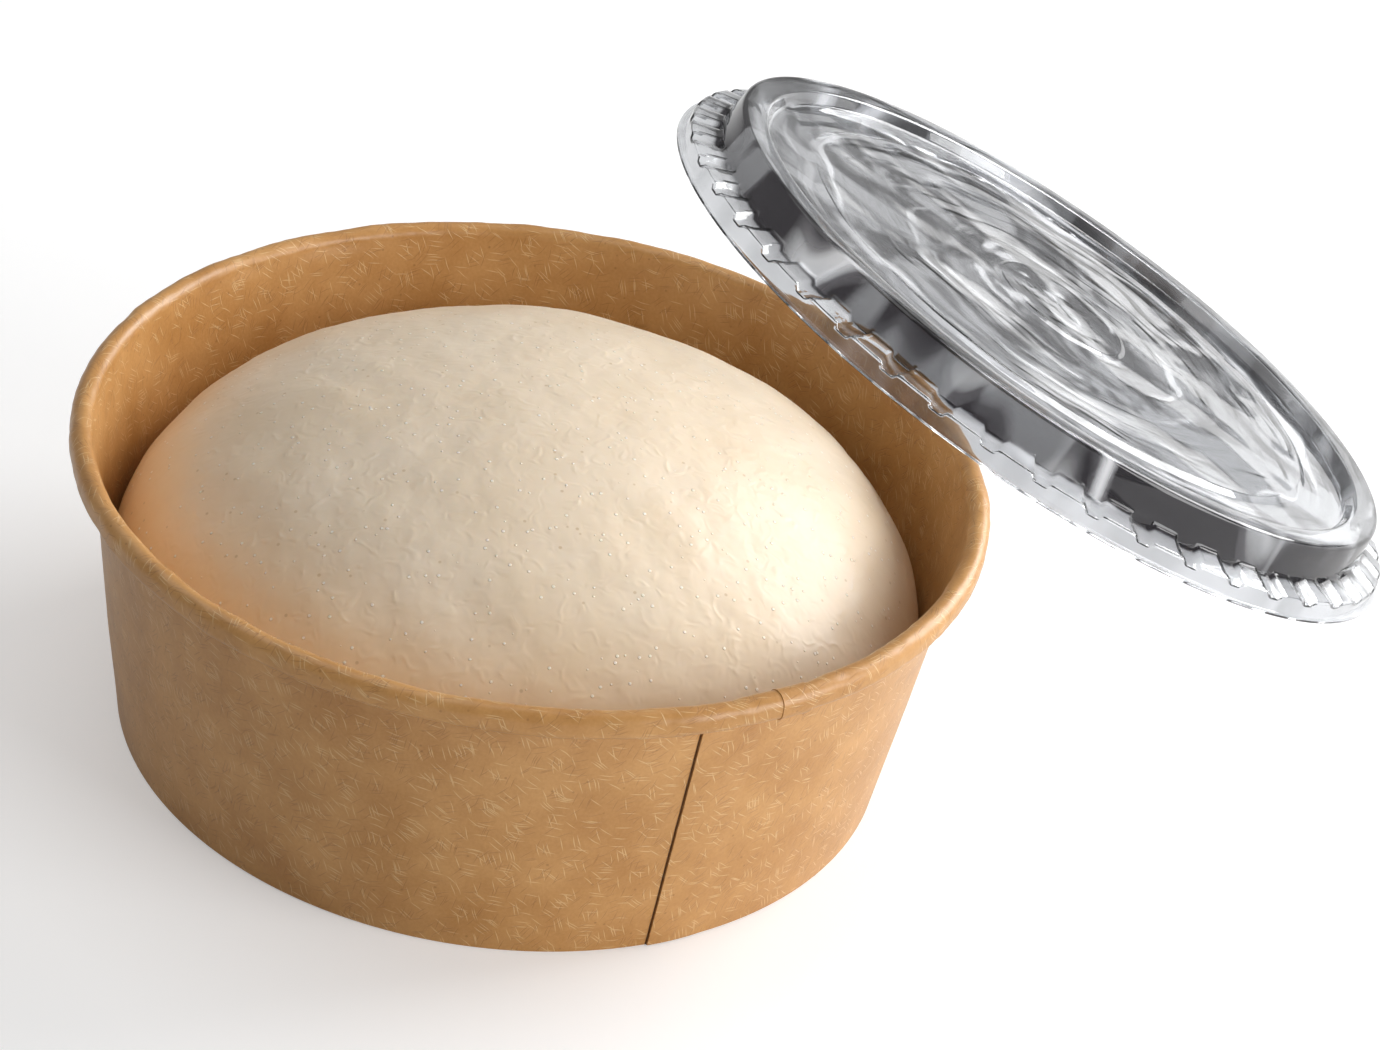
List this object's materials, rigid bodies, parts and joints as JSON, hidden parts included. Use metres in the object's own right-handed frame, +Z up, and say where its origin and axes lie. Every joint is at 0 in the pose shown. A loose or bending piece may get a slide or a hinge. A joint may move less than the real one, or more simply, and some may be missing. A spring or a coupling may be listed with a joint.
{
  "type": "dough proofing container",
  "caption": "Round paperboard bowl with a rolled rim and a lapped side seam, holding risen dough, with a clear formed snap lid leaning on the rim.",
  "frame": {"origin": "centre of the bowl's foot ring, on the surface that the bowl stands on", "axes": "+Z up along the bowl's axis; +X from the bowl towards the low side of the leaning lid; the lap seam is near -Y"},
  "size_m": [0.3149, 0.2501, 0.0924],
  "materials": {
    "kraft_board": "satin",
    "dough": "satin",
    "clear_sheet": "gloss"
  },
  "bodies": {
    "bowl": {"side_wall": "kraft_board", "bottom_disc": "kraft_board"},
    "contents": {"dough": "dough"},
    "lid": {"lid": "clear_sheet"}
  },
  "joints": [
    {"name": "lid_lift", "type": "slide", "parent": "bowl", "child": "lid", "axis": [0.4431, 0, 0.8965], "range_m": [0, 0.12]},
    {"name": "dough_lift", "type": "slide", "parent": "bowl", "child": "contents", "axis": [0, 0, 1], "range_m": [0, 0.015]}
  ]
}
